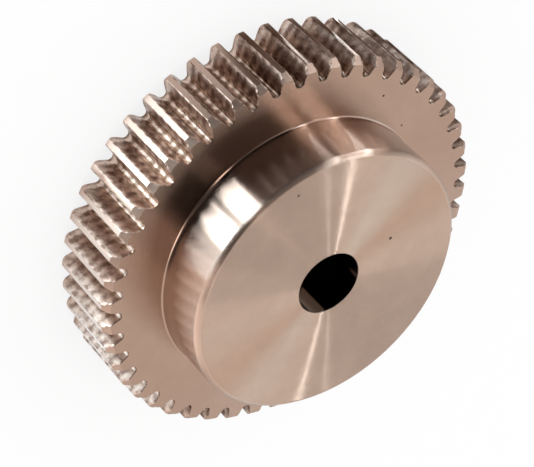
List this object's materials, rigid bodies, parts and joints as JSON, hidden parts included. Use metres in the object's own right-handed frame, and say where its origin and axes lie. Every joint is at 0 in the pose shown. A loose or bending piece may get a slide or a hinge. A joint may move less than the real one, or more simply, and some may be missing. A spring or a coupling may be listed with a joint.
{
  "type": "gear wheel",
  "caption": "Straight-toothed spur gear wheel with a large round hub on one side and a plain round bore, machined from one piece of steel.",
  "frame": {"origin": "centre of the bore on the rim's plain back face, which the gear wheel lies on", "axes": "+Z along the gear's axis, from the back face towards the hub; +X through the middle of one tooth"},
  "size_m": [0.1, 0.1, 0.0345],
  "materials": {
    "machined_steel": "bare turned and hobbed steel under a thin film of oil, with fine concentric turning marks"
  },
  "bodies": {
    "root": {"gear_wheel": "machined_steel"}
  },
  "joints": []
}
